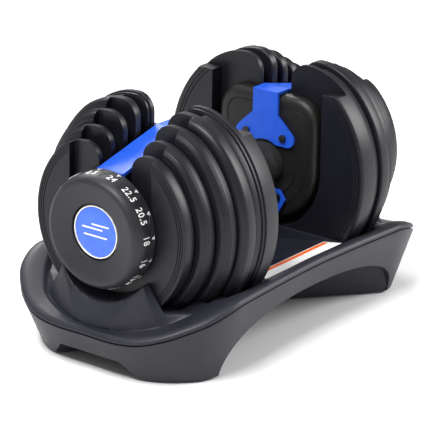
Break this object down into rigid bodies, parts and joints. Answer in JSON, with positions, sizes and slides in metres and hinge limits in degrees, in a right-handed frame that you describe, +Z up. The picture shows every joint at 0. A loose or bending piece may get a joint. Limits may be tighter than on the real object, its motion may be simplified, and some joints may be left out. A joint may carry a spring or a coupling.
{
  "type": "adjustable dumbbell with storage tray",
  "caption": "Selectorised adjustable dumbbell with a numbered dial at each end, nested plates and a storage tray that holds the weights left behind.",
  "frame": {"origin": "on the ground under the middle of the tray", "axes": "+X along the handle, +Z up, -Y is the side with the printed strip"},
  "size_m": [0.4426, 0.2556, 0.2463],
  "materials": {
    "tray_plastic": "fine-grained moulded charcoal plastic",
    "plate_plastic": "satin moulded charcoal plastic",
    "hub_plastic": "satin warm black plastic",
    "disc_plastic": "plain black plastic",
    "dial_plastic": "satin black plastic with white printed numbers",
    "badge_plastic": "glossy blue with a pale ring",
    "blue_paint": "royal blue powder coat",
    "steel": "plain zinc-plated steel",
    "rubber": "matt black rubber",
    "label": "white printed film with an orange stripe"
  },
  "bodies": {
    "tray": {"tray_top": "tray_plastic", "tray_base": "tray_plastic", "tray_feet": "rubber", "tray_screws": "steel", "tray_label": "label", "release_posts": "tray_plastic"},
    "plates_1": {"plate_1_left": "plate_plastic", "plate_1_right": "plate_plastic", "core_1_left": "steel", "core_1_right": "steel"},
    "plates_2": {"plate_2_left": "plate_plastic", "plate_2_right": "plate_plastic", "core_2_left": "steel", "core_2_right": "steel"},
    "plates_3": {"plate_3_left": "plate_plastic", "plate_3_right": "plate_plastic", "core_3_left": "steel", "core_3_right": "steel"},
    "plates_4": {"plate_4_left": "plate_plastic", "plate_4_right": "plate_plastic", "core_4_left": "steel", "core_4_right": "steel"},
    "plates_5": {"plate_5_left": "plate_plastic", "plate_5_right": "plate_plastic", "core_5_left": "steel", "core_5_right": "steel"},
    "handle": {"grip": "rubber", "handle_tube": "steel", "hub_screws": "steel", "hub_left": "hub_plastic", "bridge_left": "blue_paint", "end_plate_left": "blue_paint", "lower_bracket_left": "blue_paint", "hub_right": "hub_plastic", "bridge_right": "blue_paint", "end_plate_right": "blue_paint", "lower_bracket_right": "blue_paint"},
    "selector_left": {"shaft_left": "steel", "dial_left": "dial_plastic", "badge_left": "badge_plastic", "dial_screw_left": "steel", "disc_1_left": "disc_plastic", "disc_2_left": "disc_plastic", "disc_3_left": "disc_plastic", "disc_4_left": "disc_plastic", "disc_5_left": "disc_plastic"},
    "selector_right": {"shaft_right": "steel", "dial_right": "dial_plastic", "badge_right": "badge_plastic", "dial_screw_right": "steel", "disc_1_right": "disc_plastic", "disc_2_right": "disc_plastic", "disc_3_right": "disc_plastic", "disc_4_right": "disc_plastic", "disc_5_right": "disc_plastic"},
    "lock_left": {"lock_pin_left": "steel", "lock_spring_left": "steel"},
    "lock_right": {"lock_pin_right": "steel", "lock_spring_right": "steel"}
  },
  "joints": [
    {"name": "plates_1_lift", "type": "slide", "parent": "tray", "child": "plates_1", "axis": [0, 0, 1], "range_m": [0, 0.06]},
    {"name": "plates_2_lift", "type": "slide", "parent": "plates_1", "child": "plates_2", "axis": [0, 0, 1], "range_m": [0, 0.06]},
    {"name": "plates_3_lift", "type": "slide", "parent": "plates_2", "child": "plates_3", "axis": [0, 0, 1], "range_m": [0, 0.06]},
    {"name": "plates_4_lift", "type": "slide", "parent": "plates_3", "child": "plates_4", "axis": [0, 0, 1], "range_m": [0, 0.06]},
    {"name": "plates_5_lift", "type": "slide", "parent": "plates_4", "child": "plates_5", "axis": [0, 0, 1], "range_m": [0, 0.06]},
    {"name": "handle_lift", "type": "slide", "parent": "plates_5", "child": "handle", "axis": [0, 0, 1], "range_m": [0, 0.18]},
    {"name": "dial_turn_left", "type": "hinge", "parent": "handle", "child": "selector_left", "pos_m": [0, 0, 0.14], "axis": [-1, 0, 0], "continuous": true},
    {"name": "dial_turn_right", "type": "hinge", "parent": "handle", "child": "selector_right", "pos_m": [0, 0, 0.14], "axis": [1, 0, 0], "continuous": true},
    {"name": "lock_drop_left", "type": "slide", "parent": "handle", "child": "lock_left", "axis": [0, 0, 1], "range_m": [-0.006, 0], "deforming": ["lock_spring_left"]},
    {"name": "lock_drop_right", "type": "slide", "parent": "handle", "child": "lock_right", "axis": [0, 0, 1], "range_m": [-0.006, 0], "deforming": ["lock_spring_right"]}
  ],
  "couplings": [
    {"joint": "lock_drop_left", "follows": "handle_lift", "ratio": -0.033333},
    {"joint": "lock_drop_right", "follows": "handle_lift", "ratio": -0.033333}
  ]
}
